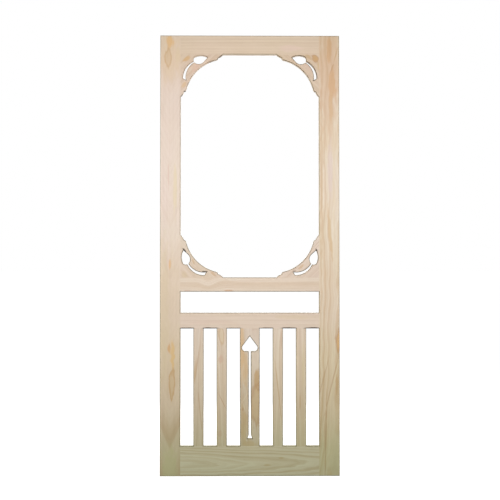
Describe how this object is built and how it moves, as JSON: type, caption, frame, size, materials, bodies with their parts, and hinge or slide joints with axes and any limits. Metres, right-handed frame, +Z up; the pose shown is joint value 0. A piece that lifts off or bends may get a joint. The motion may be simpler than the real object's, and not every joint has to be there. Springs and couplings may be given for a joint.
{
  "type": "wooden screen door",
  "caption": "Tall stile-and-rail screen door slab in bare pine, with a tall light framed by fretwork corner brackets, an open band and a slatted foot with a pierced spade.",
  "frame": {"origin": "on the flat of the hinge stile's outer edge, at the door's foot and in the middle of its thickness", "axes": "+X from the hinge edge across the width to the latch edge, +Y from the front to the back, where the screen beads are, +Z up the height; the front faces -Y"},
  "size_m": [0.8382, 0.0286, 2.0574],
  "materials": {
    "hinge_stile": "bare sanded softwood",
    "latch_stile": "bare sanded softwood",
    "top_rail": "bare sanded softwood",
    "upper_lock_rail": "bare sanded softwood",
    "lower_lock_rail": "bare sanded softwood",
    "bottom_rail": "bare sanded softwood",
    "upper_hinge_bracket": "bare sanded softwood",
    "upper_latch_bracket": "bare sanded softwood",
    "lower_hinge_bracket": "bare sanded softwood",
    "lower_latch_bracket": "bare sanded softwood",
    "slat_1": "bare sanded softwood",
    "slat_2": "bare sanded softwood",
    "centre_slat": "bare sanded softwood",
    "slat_4": "bare sanded softwood",
    "slat_5": "bare sanded softwood",
    "light_bead_bottom": "bare sanded softwood",
    "light_bead_latch": "bare sanded softwood",
    "light_bead_top": "bare sanded softwood",
    "light_bead_hinge": "bare sanded softwood",
    "band_bead_bottom": "bare sanded softwood",
    "band_bead_latch": "bare sanded softwood",
    "band_bead_top": "bare sanded softwood",
    "band_bead_hinge": "bare sanded softwood",
    "slats_bead_bottom": "bare sanded softwood",
    "slats_bead_latch": "bare sanded softwood",
    "slats_bead_top": "bare sanded softwood",
    "slats_bead_hinge": "bare sanded softwood"
  },
  "bodies": {
    "root": {"hinge_stile": "hinge_stile", "latch_stile": "latch_stile", "top_rail": "top_rail", "upper_lock_rail": "upper_lock_rail", "lower_lock_rail": "lower_lock_rail", "bottom_rail": "bottom_rail", "upper_hinge_bracket": "upper_hinge_bracket", "upper_latch_bracket": "upper_latch_bracket", "lower_hinge_bracket": "lower_hinge_bracket", "lower_latch_bracket": "lower_latch_bracket", "slat_1": "slat_1", "slat_2": "slat_2", "centre_slat": "centre_slat", "slat_4": "slat_4", "slat_5": "slat_5", "light_bead_bottom": "light_bead_bottom", "light_bead_latch": "light_bead_latch", "light_bead_top": "light_bead_top", "light_bead_hinge": "light_bead_hinge", "band_bead_bottom": "band_bead_bottom", "band_bead_latch": "band_bead_latch", "band_bead_top": "band_bead_top", "band_bead_hinge": "band_bead_hinge", "slats_bead_bottom": "slats_bead_bottom", "slats_bead_latch": "slats_bead_latch", "slats_bead_top": "slats_bead_top", "slats_bead_hinge": "slats_bead_hinge"}
  },
  "joints": []
}
